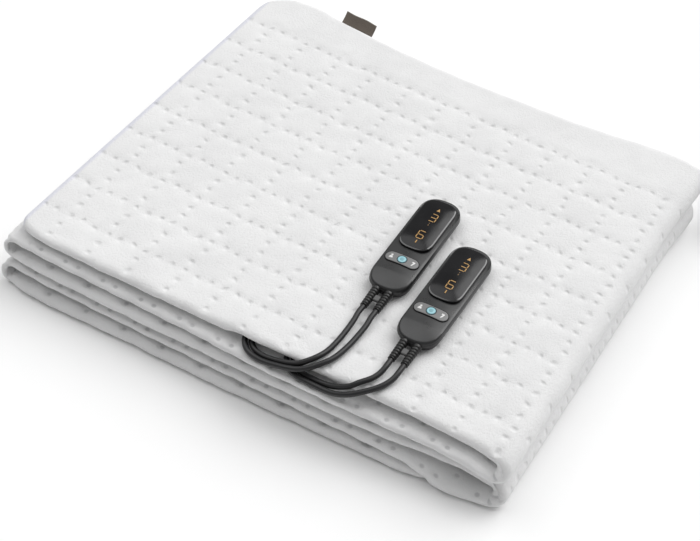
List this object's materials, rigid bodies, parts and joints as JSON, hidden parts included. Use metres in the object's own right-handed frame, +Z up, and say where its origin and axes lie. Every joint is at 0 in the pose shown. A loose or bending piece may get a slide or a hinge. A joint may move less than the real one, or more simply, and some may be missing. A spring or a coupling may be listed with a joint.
{
  "type": "electric underblanket",
  "caption": "Quilted electric underblanket, folded flat in layers, with two wired handsets lying on top; leads run in and out of the fold to coils and plain plugs.",
  "frame": {"origin": "on the surface that the folded blanket lies on, under its middle", "axes": "+Z up; +X along the folded edges, towards the large bends; +Y away from the front edges where the leads go in, towards the label"},
  "size_m": [0.6, 0.5775, 0.0782],
  "materials": {
    "quilted cloth": "soft white fleece, quilted in squares",
    "taupe tape": "woven taupe tape",
    "dark shell": "fine matte dark shell",
    "graphite cover": "satin graphite",
    "black lens": "glossy black display lens with amber digits",
    "key grey": "mid-grey key plate with pale symbols",
    "lit key": "pale blue-green key",
    "black rubber": "black ribbed rubber",
    "black lead": "smooth black lead and plug"
  },
  "bodies": {
    "body": {"blanket": "quilted cloth", "blanket_lead_a": "black lead", "blanket_lead_b": "black lead", "handset_a_base": "dark shell", "handset_a_cover": "graphite cover", "handset_a_lens": "black lens", "handset_a_plate": "key grey", "handset_a_relief": "black rubber", "handset_b_base": "dark shell", "handset_b_cover": "graphite cover", "handset_b_lens": "black lens", "handset_b_plate": "key grey", "handset_b_relief": "black rubber", "label_tab": "taupe tape", "mains_coil_a": "black lead", "mains_coil_b": "black lead", "mains_lead_a": "black lead", "mains_lead_b": "black lead", "mains_tail_a": "black lead", "mains_tail_b": "black lead", "plug_a": "black lead", "plug_b": "black lead"},
    "key_a": {"handset_a_key": "lit key"},
    "key_b": {"handset_b_key": "lit key"}
  },
  "joints": [
    {"name": "power_key_a", "type": "slide", "parent": "body", "child": "key_a", "axis": [0, 0, -1], "range_m": [0, 0.0006], "stiffness_N_per_m": 300},
    {"name": "power_key_b", "type": "slide", "parent": "body", "child": "key_b", "axis": [0, 0, -1], "range_m": [0, 0.0006], "stiffness_N_per_m": 300}
  ]
}
